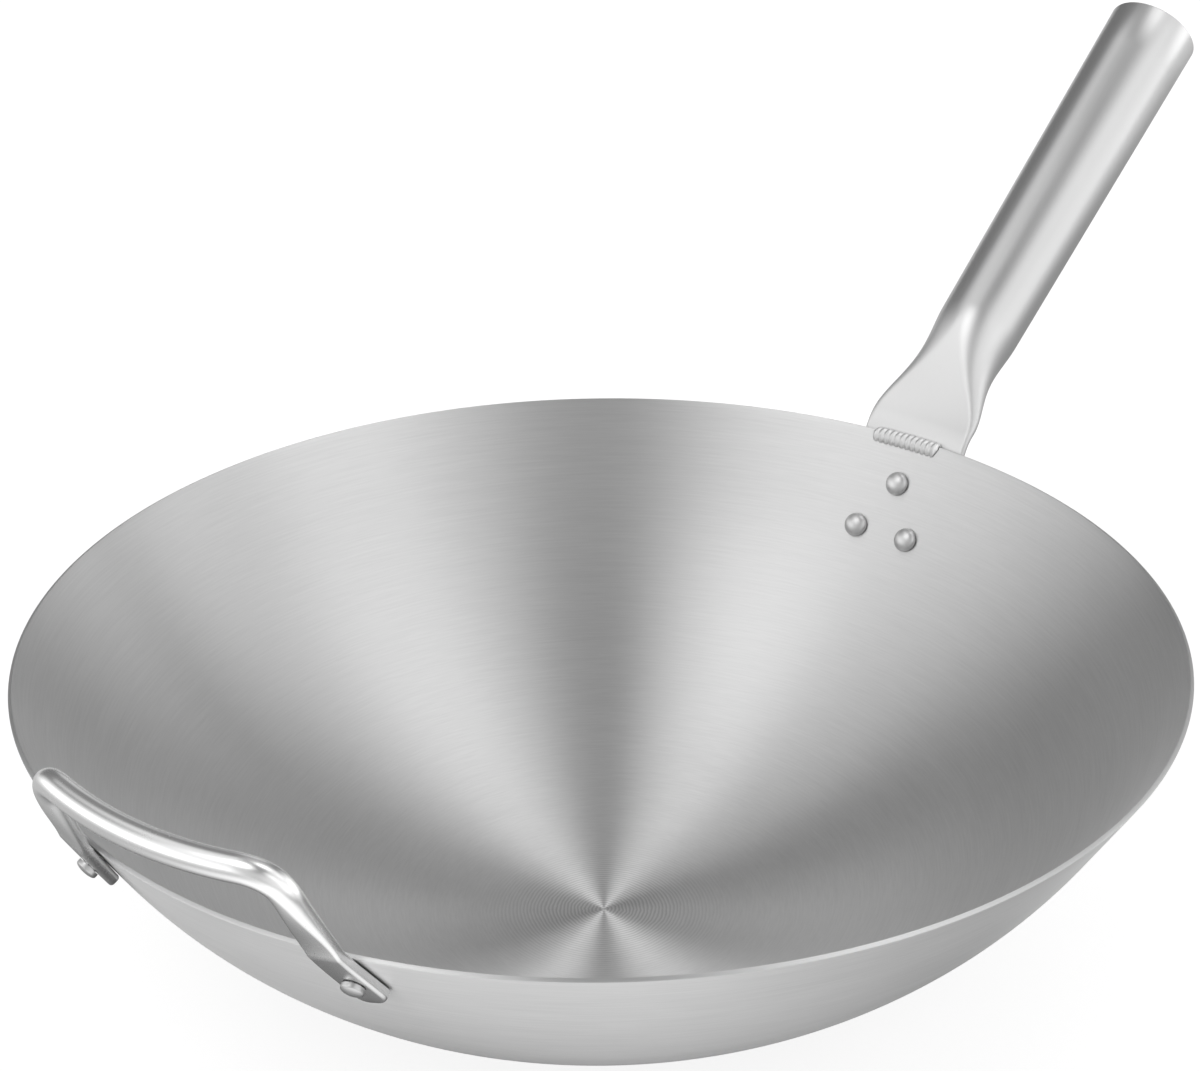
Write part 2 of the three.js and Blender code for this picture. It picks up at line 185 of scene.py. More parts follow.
class Shop:
    """Hand tools that work on one piece at a time."""

    @staticmethod
    def clear() -> None:
        """Leaves edit mode and deselects everything."""
        if bpy.context.mode != "OBJECT":
            bpy.ops.object.mode_set(mode="OBJECT")
        bpy.ops.object.select_all(action="DESELECT")

    @staticmethod
    def take(piece: bpy.types.Object) -> None:
        """Selects one piece alone and makes it the active one.

        Args:
            piece: Piece to work on.
        """
        Shop.clear()
        piece.select_set(True)
        bpy.context.view_layer.objects.active = piece

    @staticmethod
    def rename(piece: bpy.types.Object, name: str) -> bpy.types.Object:
        """Gives a piece and its mesh one name.

        Args:
            piece: Piece to name.
            name: Its name.

        Returns:
            The piece.
        """
        piece.name = name
        piece.data.name = name
        return piece

    @staticmethod
    def copied(piece: bpy.types.Object, name: str) -> bpy.types.Object:
        """Copies a piece with its mesh.

        Args:
            piece: Piece to copy.
            name: Name of the copy.

        Returns:
            The copy.
        """
        Shop.take(piece)
        bpy.ops.object.duplicate(linked=False)
        return Shop.rename(bpy.context.object, name)

    @staticmethod
    def turned(name: str, profile: Sequence[tuple[float, float]], steps: int) -> bpy.types.Object:
        """Extrudes a point along a profile and spins the line about +Z.

        Args:
            name: Name of the piece.
            profile: Radius and height of each point, in order.
            steps: Facets of the full turn.

        Returns:
            The turned skin, with its poles merged and its faces pointing outwards.
        """
        Shop.clear()
        bpy.ops.mesh.primitive_plane_add(size=POINT_SIZE)
        piece = Shop.rename(bpy.context.object, name)
        bpy.ops.object.mode_set(mode="EDIT")
        bpy.ops.mesh.select_mode(type="VERT")
        bpy.ops.mesh.select_all(action="SELECT")
        bpy.ops.mesh.merge(type="CENTER")
        here = Vector((profile[0][0], 0.0, profile[0][1]))
        bpy.ops.transform.translate(value=here)
        for radius, height in profile[1:]:
            there = Vector((radius, 0.0, height))
            bpy.ops.mesh.extrude_vertices_move(TRANSFORM_OT_translate={"value": there - here})
            here = there
        bpy.ops.mesh.select_all(action="SELECT")
        bpy.ops.mesh.spin(steps=steps, angle=2 * math.pi, center=(0, 0, 0), axis=(0, 0, 1))
        bpy.ops.mesh.select_all(action="SELECT")
        bpy.ops.mesh.remove_doubles(threshold=MERGE_DISTANCE)
        bpy.ops.mesh.normals_make_consistent(inside=False)
        bpy.ops.object.mode_set(mode="OBJECT")
        return piece

    @staticmethod
    def drawn(name: str, rings: Sequence[Sequence[Vector]]) -> bpy.types.Object:
        """Extrudes a circle ring by ring, draws each ring to its place and closes both ends.

        Args:
            name: Name of the piece.
            rings: Points of each ring, all of one count.

        Returns:
            The closed piece, with its faces pointing outwards.
        """
        sides = len(rings[0])
        Shop.clear()
        bpy.ops.mesh.primitive_circle_add(vertices=sides, radius=1.0, fill_type="NOTHING")
        piece = Shop.rename(bpy.context.object, name)
        bpy.ops.object.mode_set(mode="EDIT")
        bpy.ops.mesh.select_mode(type="EDGE")
        bpy.ops.mesh.select_all(action="SELECT")
        for _ in rings[1:]:
            bpy.ops.mesh.extrude_region_move(TRANSFORM_OT_translate={"value": (0.0, 0.0, 1.0)})
        work = bmesh.from_edit_mesh(piece.data)
        ends: tuple[list[bmesh.types.BMVert], list[bmesh.types.BMVert]] = ([], [])
        for corner in work.verts:
            ring = round(corner.co.z)
            side = round(math.atan2(corner.co.y, corner.co.x) * sides / (2 * math.pi)) % sides
            corner.co = rings[ring][side]
            if ring == 0:
                ends[0].append(corner)
            elif ring == len(rings) - 1:
                ends[1].append(corner)
        for end in ends:
            bpy.ops.mesh.select_all(action="DESELECT")
            for corner in end:
                corner.select_set(True)
            work.select_flush(True)
            bmesh.update_edit_mesh(piece.data)
            bpy.ops.mesh.edge_face_add()
            work = bmesh.from_edit_mesh(piece.data)
        bpy.ops.mesh.select_all(action="SELECT")
        bpy.ops.mesh.normals_make_consistent(inside=False)
        bpy.ops.object.mode_set(mode="OBJECT")
        return piece

    @staticmethod
    def pick_edges(piece: bpy.types.Object, test: Callable[[Vector, Vector], bool]) -> None:
        """Goes to edit mode and selects the edges whose two ends pass a test.

        Args:
            piece: Piece to work on.
            test: Takes the two ends of an edge and says whether it is picked.
        """
        Shop.take(piece)
        bpy.ops.object.mode_set(mode="EDIT")
        bpy.ops.mesh.select_mode(type="EDGE")
        bpy.ops.mesh.select_all(action="DESELECT")
        work = bmesh.from_edit_mesh(piece.data)
        for edge in work.edges:
            edge.select_set(test(edge.verts[0].co, edge.verts[1].co))
        bmesh.update_edit_mesh(piece.data)

    @staticmethod
    def apply(piece: bpy.types.Object, kind: str, **settings: object) -> None:
        """Adds one modifier with its settings and applies it.

        Args:
            piece: Piece to work on.
            kind: Blender's name of the modifier.
            settings: Its properties.
        """
        Shop.take(piece)
        modifier = piece.modifiers.new(kind.lower(), kind)
        for key, value in settings.items():
            setattr(modifier, key, value)
        bpy.ops.object.modifier_apply(modifier=modifier.name)

    @staticmethod
    def drill(piece: bpy.types.Object, places: Sequence[Matrix], radius: float, depth: float) -> None:
        """Cuts a round hole along +Z of each place.

        Args:
            piece: Piece to drill.
            places: Where each hole lies.
            radius: Radius of the holes.
            depth: Length of the drill, half on each side of its place.
        """
        for place in places:
            Shop.clear()
            bpy.ops.mesh.primitive_cylinder_add(vertices=DRILL_SIDES, radius=radius, depth=depth)
            drill_bit = bpy.context.object
            drill_bit.data.transform(place)
            Shop.apply(piece, "BOOLEAN", operation="DIFFERENCE", solver="EXACT", object=drill_bit)
            bpy.data.objects.remove(drill_bit)

    @staticmethod
    def shade(piece: bpy.types.Object, degrees: float) -> None:
        """Shades smooth across edges that turn less than an angle."""
        Shop.take(piece)
        bpy.ops.object.shade_smooth_by_angle(angle=math.radians(degrees))


# Shader sums


class Value:
    """A shader socket that takes part in sums."""

    def __init__(self, graph: "Graph", socket: bpy.types.NodeSocket) -> None:
        """Keeps the socket and the graph that it belongs to."""
        self.graph = graph
        self.socket = socket

    def maths(self, operation: str, *others: "Value | Number", swap: bool = False) -> "Value":
        """Adds one Math node.

        Args:
            operation: Blender's name of the operation.
            others: What follows this value.
            swap: Puts this value second.

        Returns:
            The node's result.
        """
        terms = [*others, self] if swap else [self, *others]
        node = self.graph.add("ShaderNodeMath", {"operation": operation}, dict(enumerate(terms)))
        return Value(self.graph, node.outputs[0])

    def __add__(self, other: "Value | Number") -> "Value":
        """Adds."""
        return self.maths("ADD", other)

    __radd__ = __add__

    def __sub__(self, other: "Value | Number") -> "Value":
        """Takes away."""
        return self.maths("SUBTRACT", other)

    def __rsub__(self, other: Number) -> "Value":
        """Takes this value away from a number."""
        return self.maths("SUBTRACT", other, swap=True)

    def __mul__(self, other: "Value | Number") -> "Value":
        """Multiplies."""
        return self.maths("MULTIPLY", other)

    __rmul__ = __mul__

    def __truediv__(self, other: "Value | Number") -> "Value":
        """Divides."""
        return self.maths("DIVIDE", other)

    def __rtruediv__(self, other: Number) -> "Value":
        """Divides a number by this value."""
        return self.maths("DIVIDE", other, swap=True)

    def __pow__(self, power: Number) -> "Value":
        """Raises to a power."""
        return self.maths("POWER", power)

    def eased(self, start: float, end: float) -> "Value":
        """Eases from 0 at start to 1 at end.

        Args:
            start: Value where it is still 0.
            end: Value from which it is 1.

        Returns:
            The eased value.
        """
        node = self.graph.add(
            "ShaderNodeMapRange",
            {"interpolation_type": "SMOOTHSTEP"},
            {"Value": self, "From Min": start, "From Max": end},
        )
        return Value(self.graph, node.outputs["Result"])


class Graph:
    """The nodes of one material or of the world."""

    def __init__(self, owner: bpy.types.Material | bpy.types.World) -> None:
        """Starts with no nodes.

        Args:
            owner: Material or world that the nodes belong to.
        """
        owner.use_nodes = True
        self.tree = owner.node_tree
        self.tree.nodes.clear()

    def add(
        self,
        kind: str,
        settings: dict[str, object] | None = None,
        sockets: dict[str | int, object] | None = None,
    ) -> bpy.types.Node:
        """Adds any node.

        Args:
            kind: Blender's name of the node's type.
            settings: Properties of the node.
            sockets: Numbers, colours, values or sockets for the inputs.

        Returns:
            The new node.
        """
        node = self.tree.nodes.new(kind)
        for key, setting in (settings or {}).items():
            setattr(node, key, setting)
        for key, given in (sockets or {}).items():
            if isinstance(given, Value):
                self.tree.links.new(given.socket, node.inputs[key])
            elif isinstance(given, bpy.types.NodeSocket):
                self.tree.links.new(given, node.inputs[key])
            else:
                node.inputs[key].default_value = given
        return node

    def places(self, kind: str = "Object") -> tuple[Value, Value, Value]:
        """Gives texture coordinates as three values.

        Args:
            kind: Blender's name of the coordinates.

        Returns:
            X, Y and Z.
        """
        where = self.add("ShaderNodeTexCoord")
        parts = self.add("ShaderNodeSeparateXYZ", None, {0: where.outputs[kind]})
        return tuple(Value(self, parts.outputs[axis]) for axis in "XYZ")

    def rays(self, *kinds: str) -> Value:
        """Tells rays of some kinds from all others.

        Args:
            kinds: Blender's names of the kinds.

        Returns:
            1 for a ray of these kinds and 0 for any other.
        """
        path = self.add("ShaderNodeLightPath")
        first, *others = (Value(self, path.outputs[kind]) for kind in kinds)
        return sum(others, first)

    def noise(self, x: Value, y: Value, z: Value, detail: float = 2.0) -> Value:
        """Gives smooth noise over three values, each already scaled.

        Args:
            x: First value.
            y: Second value.
            z: Third value.
            detail: Number of finer layers.

        Returns:
            The noise, from 0 to 1.
        """
        vector = self.add("ShaderNodeCombineXYZ", None, {"X": x, "Y": y, "Z": z})
        node = self.add(
            "ShaderNodeTexNoise",
            {"noise_dimensions": "3D"},
            {"Vector": vector.outputs[0], "Scale": 1.0, "Detail": detail, "Roughness": NOISE_ROUGHNESS},
        )
        return Value(self, node.outputs["Fac"])

    def even_noise(self, places: Sequence[Value], frequency: float) -> Value:
        """Gives noise that is alike in every direction, with so many grains to the metre."""
        return self.noise(*(axis * frequency for axis in places))

    def tint(self, share: Value, low: float, high: float) -> bpy.types.NodeSocket:
        """Mixes two greys.

        Args:
            share: How much of the second grey.
            low: First grey.
            high: Second grey.

        Returns:
            The mixed grey as a colour.
        """
        node = self.add(
            "ShaderNodeMix",
            {"data_type": "RGBA"},
            {0: share, 6: (low, low, low, 1.0), 7: (high, high, high, 1.0)},
        )
        return node.outputs[2]

    def raised(self, height: Value, strength: float, distance: float) -> bpy.types.NodeSocket:
        """Turns a height into a normal.

        Args:
            height: Height, from 0 to 1.
            strength: Strength of the bump.
            distance: Height of 1 in metres.

        Returns:
            The normal.
        """
        node = self.add(
            "ShaderNodeBump", None, {"Height": height, "Strength": strength, "Distance": distance}
        )
        return node.outputs[0]


# Finishes


@dataclass(frozen=True)
class Steel:
    """Stainless steel with one finish.

    Attributes:
        name: Name of the material.
        dark: Grey where the metal is dullest.
        light: Grey where it is brightest.
        roughness: Mean roughness.
        grain: How far the roughness varies.
        bump: Strength of the surface marks.
        aniso: How far the gloss is drawn out across the brushing.
        cloud_frequency: Clouds to the metre.
        grit_frequency: Grains to the metre.
    """

    name: str
    dark: float
    light: float
    roughness: float
    grain: float
    bump: float
    aniso: float = 0.0
    cloud_frequency: float = 40.0
    grit_frequency: float = 900.0

    def material(self) -> bpy.types.Material:
        """Makes the material.

        Returns:
            The new material.
        """
        made = bpy.data.materials.new(self.name)
        graph = Graph(made)
        tint, marks, gloss = self.marks(graph)
        shader = graph.add(
            "ShaderNodeBsdfPrincipled",
            None,
            {
                "Base Color": graph.tint(tint, self.dark, self.light),
                "Metallic": 1.0,
                "Roughness": self.roughness + (gloss - 0.5) * self.grain,
                "Anisotropic": self.aniso,
                "Anisotropic Rotation": ACROSS_THE_BRUSHING,
                "Normal": graph.raised(marks, self.bump, MARK_HEIGHT),
            },
        )
        graph.add("ShaderNodeOutputMaterial", None, {"Surface": shader.outputs[0]})
        return made

    def marks(self, graph: Graph) -> tuple[Value, Value, Value]:
        """Gives the tint, the height of the marks and the gloss, each from 0 to 1.

        Args:
            graph: Nodes of the material.

        Returns:
            Tint, height and gloss.
        """
        places = graph.places()
        cloud = graph.even_noise(places, self.cloud_frequency)
        grit = graph.even_noise(places, self.grit_frequency)
        return cloud, grit, cloud * 0.5 + grit * 0.5

    def dress(self, piece: bpy.types.Object) -> None:
        """Gives a piece this finish and no other."""
        piece.data.materials.clear()
        piece.data.materials.append(bpy.data.materials.get(self.name) or self.material())


@dataclass(frozen=True)
class SpunSteel(Steel):
    """Sheet that was brushed while it turned, with lathe rings on the floor.

    Attributes:
        floor_radius: Radius where the lathe rings have faded out.
        climb: What a height adds to the run along the wall.
        line_frequency: Brush lines to the metre of that run.
        line_turns: How fast the lines change on the way round.
        band_frequency: Broad bands to the metre of that run.
        band_turns: How fast the bands change on the way round.
        ring_frequency: Radians of the lathe rings to the metre.
        ring_wander: Radians by which the bands shift the rings.
    """

    cloud_frequency: float = 14.0
    floor_radius: float = 0.048
    climb: float = 0.6
    line_frequency: float = 1500.0
    line_turns: float = 9.0
    band_frequency: float = 160.0
    band_turns: float = 2.5
    ring_frequency: float = 5400.0
    ring_wander: float = 7.0

    def marks(self, graph: Graph) -> tuple[Value, Value, Value]:
        """Gives the tint, the height of the marks and the gloss, about from 0 to 1.

        Args:
            graph: Nodes of the material.

        Returns:
            Tint, height and gloss.
        """
        x, y, z = graph.places()
        radius = (x * x + y * y + AXIS_GUARD) ** 0.5
        run = radius + z * self.climb
        east = x / radius
        north = y / radius
        fine, broad = self.line_turns, self.band_turns
        lines = graph.noise(east * fine, north * fine, run * self.line_frequency, detail=3.0)
        bands = graph.noise(east * broad, north * broad, run * self.band_frequency)
        cloud = graph.even_noise((x, y, z), self.cloud_frequency)
        rings = (radius * self.ring_frequency + bands * self.ring_wander).maths("SINE") * 0.5
        floor = 1 - radius.eased(0.0, self.floor_radius)
        height = lines * 0.75 + bands * 0.25 + rings * floor * 0.8
        gloss = lines * 0.45 + bands * 0.35 + cloud * 0.2
        tint = lines * 0.6 + bands * 0.25 + cloud * 0.15 + rings * floor * 1.4
        return tint, height, gloss


@dataclass(frozen=True)
class DrawnTubeSteel(Steel):
    """Tube with fine draw lines along it, duller and paler where its root was pressed.

    Attributes:
        rise: Slope of the tube.
        rim: Where the rim lies along the tube's direction.
        press_start: Distance from the rim where the pressed root begins.
        press_full: Distance from the rim where it is fully pressed.
        line_across: Draw lines to the metre across the tube.
        line_along: Changes of the lines to the metre along it.
        cloud_across: Clouds to the metre across the tube.
        cloud_along: Clouds to the metre along it.
        pressed_tint: What the pressed root adds to the tint.
        pressed_gloss: What the pressed root adds to the gloss.
    """

    rise: float = field(kw_only=True)
    rim: float = field(kw_only=True)
    press_start: float = 0.062
    press_full: float = 0.012
    line_across: float = 1100.0
    line_along: float = 25.0
    cloud_across: float = 55.0
    cloud_along: float = 18.0
    pressed_tint: float = 1.2
    pressed_gloss: float = 3.0

    def marks(self, graph: Graph) -> tuple[Value, Value, Value]:
        """Gives the tint, the height of the marks and the gloss, past 1 at the root.

        Args:
            graph: Nodes of the material.

        Returns:
            Tint, height and gloss.
        """
        x, y, z = graph.places()
        along = x * math.cos(self.rise) + z * math.sin(self.rise)
        over = z * math.cos(self.rise) - x * math.sin(self.rise)
        lines = graph.noise(along * self.line_along, y * self.line_across, over * self.line_across)
        cloud = graph.noise(along * self.cloud_along, y * self.cloud_across, over * self.cloud_across)
        pressed = 1 - along.eased(self.rim + self.press_full, self.rim + self.press_start)
        gloss = lines * 0.6 + cloud * 0.4 + pressed * self.pressed_gloss
        return cloud + pressed * self.pressed_tint, lines, gloss


@dataclass(frozen=True)
class WeldSteel(Steel):
    """Weld bead, rougher in the valleys between its ripples, with painted shade that darkens those valleys
    and lightens the crests.

    Attributes:
        radius: Radius of the rim that it runs along.
        start: Place along the rim where it begins.
        pitch: Distance from ripple to ripple.
    """

    grit_frequency: float = 1600.0
    radius: float = field(kw_only=True)
    start: float = field(kw_only=True)
    pitch: float = field(kw_only=True)

    def marks(self, graph: Graph) -> tuple[Value, Value, Value]:
        """Gives the tint, the height of the marks and the gloss, each from 0 to 1.

        Args:
            graph: Nodes of the material.

        Returns:
            Tint, height and gloss.
        """
        x, y, z = graph.places()
        across = y.maths("ARCTAN2", x) * self.radius
        ripple = ((across - self.start) * (math.pi / self.pitch)).maths("SINE").maths("ABSOLUTE")
        grit = graph.even_noise((x, y, z), self.grit_frequency)
        # The tint is painted shade: dark in the valleys between the ripples and light on their crests; the
        # grit adds random tone.
        return ripple * 0.8 + grit * 0.2, grit, 1 - ripple * 0.6


# Pieces


@dataclass
class Piece:
    """A finished piece that stands for one solid of the frame."""

    name: str
    node: str
    slot: Slot
    finish: Steel
    smooth_below: ClassVar[float] = 50.0

    def build(self) -> bpy.types.Object:
        """Models the piece; each kind of piece has its own way."""
        raise NotImplementedError

    def settle(self, piece: bpy.types.Object) -> None:
        """Dresses the modelled piece and puts it in place of its solid.

        Args:
            piece: What build gave.
        """
        self.finish.dress(piece)
        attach(piece, "root")
        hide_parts(self.node)
        LOG.info("%s: %d faces, stands for %s", piece.name, len(piece.data.polygons), self.node)


@dataclass(frozen=True)
class Wall:
    """Line of the bowl's outer face: a flat base, one arc, and a straight stretch below the rim."""

    mouth_radius: float = 0.180
    height: float = 0.099
    base_radius: float = 0.028
    straight: float = 0.028
    sheet: float = 0.0015

    @property
    def turn_radius(self) -> float:
        """Radius of the arc."""
        reach = self.mouth_radius - self.base_radius
        return (reach**2 + self.height**2 - self.straight**2) / (2 * self.height)

    @property
    def lean(self) -> float:
        """Slope of the straight stretch.

        Returns:
            The slope in radians.
        """
        reach = self.mouth_radius - self.base_radius
        whole = math.atan2(reach, self.turn_radius - self.height)
        return whole - math.atan2(self.straight, self.turn_radius)

    def lean_at(self, drop: float) -> float:
        """Slope at a distance below the rim along the wall."""
        return self.lean - max(drop - self.straight, 0.0) / self.turn_radius

    def off(self, drop: float, out: float) -> tuple[float, float]:
        """Finds a point by its place on the wall.

        Args:
            drop: Distance below the rim along the wall; above the rim the straight stretch runs on.
            out: Distance outwards from the outer face.

        Returns:
            Radius and height.
        """
        lean = self.lean_at(drop)
        if drop > self.straight:
            radius = self.base_radius + self.turn_radius * math.sin(lean)
            height = self.turn_radius * (1 - math.cos(lean))
        else:
            radius = self.mouth_radius - drop * math.cos(lean)
            height = self.height - drop * math.sin(lean)
        return radius + out * math.sin(lean), height - out * math.cos(lean)

    def normal(self, drop: float, turn: float) -> Vector:
        """Direction straight out of the wall."""
        lean = self.lean_at(drop)
        return around(math.sin(lean), -math.cos(lean), turn)

    def place(self, drop: float, turn: float) -> Matrix:
        """Frame on the outer face with +Z straight out of the wall.

        Args:
            drop: Distance below the rim along the wall.
            turn: Turn about the bowl's axis.

        Returns:
            The frame.
        """
        point = around(*self.off(drop, 0.0), turn)
        facing = UP.rotation_difference(self.normal(drop, turn)).to_matrix().to_4x4()
        return Matrix.Translation(point) @ facing


@dataclass(frozen=True)
class RivetSizes:
    """Sizes of the rivets: a domed head inside the bowl and an upset tail outside."""

    head: float = 0.0082
    head_height: float = 0.0026
    shank: float = 0.0046
    tail: float = 0.0068
    tail_height: float = 0.0022
    lip: float = 0.0003
    dome_steps: int = 10
    tail_steps: int = 8
    sides: int = 40


@dataclass
class Rivet(Piece):
    """One rivet through the wall and what it holds."""

    wall: Wall
    sizes: RivetSizes
    drop: float
    turn: float
    held: float
    flush: bool = False
    first: "Rivet | None" = None
    model: bpy.types.Object | None = None
    smooth_below: ClassVar[float] = 40.0

    def hole(self) -> Matrix:
        """Frame of the hole that it fills."""
        return self.wall.place(self.drop, self.turn)

    def profile(self) -> list[tuple[float, float]]:
        """Outline from the top of the head to the end of the tail.

        Returns:
            Radius and height of each point.
        """
        size = self.sizes
        head_seat = -self.wall.sheet - CLEARANCE
        tail_seat = self.held + 2 * CLEARANCE
        lip = size.lip
        if self.flush:
            points = [(0.0, -self.wall.sheet), (size.shank / 2 - lip, -self.wall.sheet)]
            points.append((size.shank / 2, -self.wall.sheet + lip))
        else:
            points = [(0.0, head_seat - size.head_height)]
            for step in range(1, size.dome_steps + 1):
                angle = math.pi / 2 * step / size.dome_steps
                height = head_seat - lip - (size.head_height - lip) * math.cos(angle)
                points.append((size.head / 2 * math.sin(angle), height))
            points.append((size.head / 2, head_seat))
            points.append((size.shank / 2, head_seat))
        points.append((size.shank / 2, tail_seat))
        points.append((size.tail / 2, tail_seat))
        for step in range(size.tail_steps + 1):
            angle = math.pi / 2 * step / size.tail_steps
            height = tail_seat + size.tail_height / 2 * (1 + math.sin(angle))
            points.append((max(size.tail / 2 * math.cos(angle), 0.0), height))
        points[-1] = (0.0, tail_seat + size.tail_height)
        return points

    def build(self) -> bpy.types.Object:
        """Turns the first rivet of its kind, copies it for the others and sets it square in the wall.

        Returns:
            The rivet, with a mesh of its own.
        """
        if self.first is None:
            piece = Shop.turned(self.name, self.profile(), self.sizes.sides)
            Shop.shade(piece, self.smooth_below)
            piece.data.transform(self.hole())
        else:
            piece = Shop.copied(self.first.model, self.name)
            piece.data.transform(self.hole() @ self.first.hole().inverted())
        self.model = piece
        return piece


@dataclass
class Bowl(Piece):
    """Bowl spun from one sheet."""

    wall: Wall
    holes: list[Matrix]
    hole_radius: float
    rim_bevel: float = 0.0003
    bevel_segments: int = 3
    sides: int = 320
    floor_steps: int = 7
    arc_steps: int = 52
    straight_steps: int = 10
    drill_length: float = 0.012
    smooth_below: ClassVar[float] = 30.0

    def profile(self) -> list[tuple[float, float]]:
        """Outer line from the middle of the base to the rim.

        Returns:
            Radius and height of each point.
        """
        wall = self.wall
        arc = wall.turn_radius * wall.lean
        floor = [(radius, 0.0) for radius in spread(0.0, wall.base_radius, self.floor_steps)]
        turn = [wall.off(drop, 0.0) for drop in spread(wall.straight + arc, wall.straight, self.arc_steps)]
        straight = [wall.off(drop, 0.0) for drop in spread(wall.straight, 0.0, self.straight_steps)]
        return [*floor, *turn, *straight, wall.off(0.0, 0.0)]

    def build(self) -> bpy.types.Object:
        """Spins the outer face, gives it the sheet's thickness, breaks the rim's edges and drills it.

        Returns:
            The bowl.
        """
        piece = Shop.turned(self.name, self.profile(), self.sides)
        self._face_out(piece)
        Shop.apply(
            piece, "SOLIDIFY", thickness=self.wall.sheet, offset=-1.0, use_even_offset=True, use_rim=True
        )
        edge = self.wall.height - 2 * self.rim_bevel
        Shop.pick_edges(piece, lambda a, b: min(a.z, b.z) > edge and abs(a.z - b.z) < LEVEL_WITHIN)
        bpy.ops.mesh.bevel(offset=self.rim_bevel, segments=self.bevel_segments, affect="EDGES")
        bpy.ops.object.mode_set(mode="OBJECT")
        Shop.drill(piece, self.holes, self.hole_radius, self.drill_length)
        Shop.shade(piece, self.smooth_below)
        return piece

    @staticmethod
    def _face_out(piece: bpy.types.Object) -> None:
        """Turns the open skin's faces over if its base looks up.

        Args:
            piece: The skin.
        """
        lowest = min(piece.data.polygons, key=lambda face: face.center.z)
        if lowest.normal.z > 0:
            Shop.take(piece)
            bpy.ops.object.mode_set(mode="EDIT")
            bpy.ops.mesh.select_all(action="SELECT")
            bpy.ops.mesh.flip_normals()
            bpy.ops.object.mode_set(mode="OBJECT")


@dataclass
class TubeHandle(Piece):
    """Tapered tube, pressed flat at its root; lengths along it count from the rim."""

    wall: Wall
    holes: list[Matrix]
    hole_radius: float
    tab_drop: float
    rise: float = math.radians(33.6)
    length: float = 0.188
    sheet: float = 0.0012
    end_diameter: float = 0.033
    root_diameter: float = 0.0294
    flat_width: float = 0.040
    flat_length: float = 0.008
    throat_length: float = 0.042
    bend_start: float = 0.002
    bend_radius: float = 0.014
    tab_corner: float = 0.012
    edge: float = 0.00025
    worn_share: float = 0.3
    sides: int = 128
    tab_steps: int = 8
    flat_steps: int = 14
    bend_steps: int = 10
    throat_steps: int = 44
    shaft_steps: int = 8
    drill_length: float = 0.012

    @property
    def tab(self) -> float:
        """Thickness of the flat tab."""
        return 2 * self.sheet

    @property
    def round_start(self) -> float:
        """Where the tube becomes round."""
        return self.flat_length + self.throat_length

    @property
    def bend_end(self) -> float:
        """Where the bend above the rim ends."""
        return self.bend_start + self.bend_radius * (self.wall.lean - self.rise)

    def line(self, along: float) -> tuple[float, float, float]:
        """Radius, height and slope of the middle line.

        Args:
            along: Distance from the rim along the handle.

        Returns:
            Radius, height and slope.
        """
        middle = CLEARANCE + self.tab / 2
        if along <= self.bend_start:
            return *self.wall.off(-along, middle), self.wall.lean_at(-along)
        radius, height = self.wall.off(-self.bend_start, middle)
        lean = self.wall.lean
        slope = lean - (min(along, self.bend_end) - self.bend_start) / self.bend_radius
        straight = max(along - self.bend_end, 0.0)
        radius += self.bend_radius * (math.sin(lean) - math.sin(slope)) + straight * math.cos(slope)
        height += self.bend_radius * (math.cos(slope) - math.cos(lean)) + straight * math.sin(slope)
        return radius, height, slope

    def opening(self, along: float) -> float:
        """How far the tube has opened, from 0 where it is flat to 1 where it is round."""
        return smooth(along, self.bend_start, self.round_start)

    def thickness(self, along: float) -> float:
        """Outer thickness.

        Args:
            along: Distance from the rim along the handle.

        Returns:
            The thickness.
        """
        taper = min(max((along - self.round_start) / (self.length - self.round_start), 0.0), 1.0)
        diameter = mix(self.root_diameter, self.end_diameter, taper)
        return mix(self.tab, diameter, self.opening(along))

    def width(self, along: float) -> float:
        """Outer width.

        Args:
            along: Distance from the rim along the handle.

        Returns:
            The width.
        """
        narrowed = smooth(along, self.flat_length, self.round_start)
        full = mix(self.flat_width, self.thickness(along), narrowed)
        return rounded_end(full, self.tab_corner, along + self.tab_drop)

    def ring(self, along: float, inset: float) -> list[Vector]:
        """Points round the handle, at a depth below its outer face; the flat part follows the wall's round.

        Args:
            along: Distance from the rim along the handle.
            inset: Depth below the outer face.

        Returns:
            The points, turning left from the middle of the upper side.
        """
        radius, height, slope = self.line(along)
        curl = 1 - self.opening(along)
        points = []
        for across, up in flat_oval(
            self.width(along) - 2 * inset, self.thickness(along) - 2 * inset, self.sides
        ):
            far = radius - up * math.sin(slope)
            high = height + up * math.cos(slope)
            plain = Vector((far, across, high))
            points.append(plain.lerp(around(far, high, across / radius), curl))
        return points

    def build(self) -> bpy.types.Object:
        """Draws the skin from the tab's end to the mouth and back down the bore, then drills the tab.

        Returns:
            The tube.
        """
        tab = [self.tab_corner * share * share - self.tab_drop for share in spread(0.0, 1.0, self.tab_steps)]
        flat = spread(self.tab_corner - self.tab_drop, self.bend_start, self.flat_steps)
        bend = spread(self.bend_start, self.flat_length, self.bend_steps)
        throat = spread(self.flat_length, self.round_start, self.throat_steps)
        end = self.length - self.edge
        shaft = [*spread(self.round_start, end, self.shaft_steps), end]
        opened = [*bend, *throat, *shaft]
        bore = [along for along in opened if self.thickness(along) > self.tab + self.sheet]
        rings = [self.ring(along, 0.0) for along in [*tab, *flat, *opened]]
        worn = self.worn_share * self.edge
        rings.append(self.ring(self.length - worn, worn))
        rings.append(self.ring(self.length, self.edge))
        rings.append(self.ring(self.length, self.sheet - self.edge))
        rings.append(self.ring(self.length - worn, self.sheet - worn))
        rings.extend(self.ring(along, self.sheet) for along in reversed(bore))
        piece = Shop.drawn(self.name, rings)
        Shop.drill(piece, self.holes, self.hole_radius, self.drill_length)
        Shop.shade(piece, self.smooth_below)
        return piece


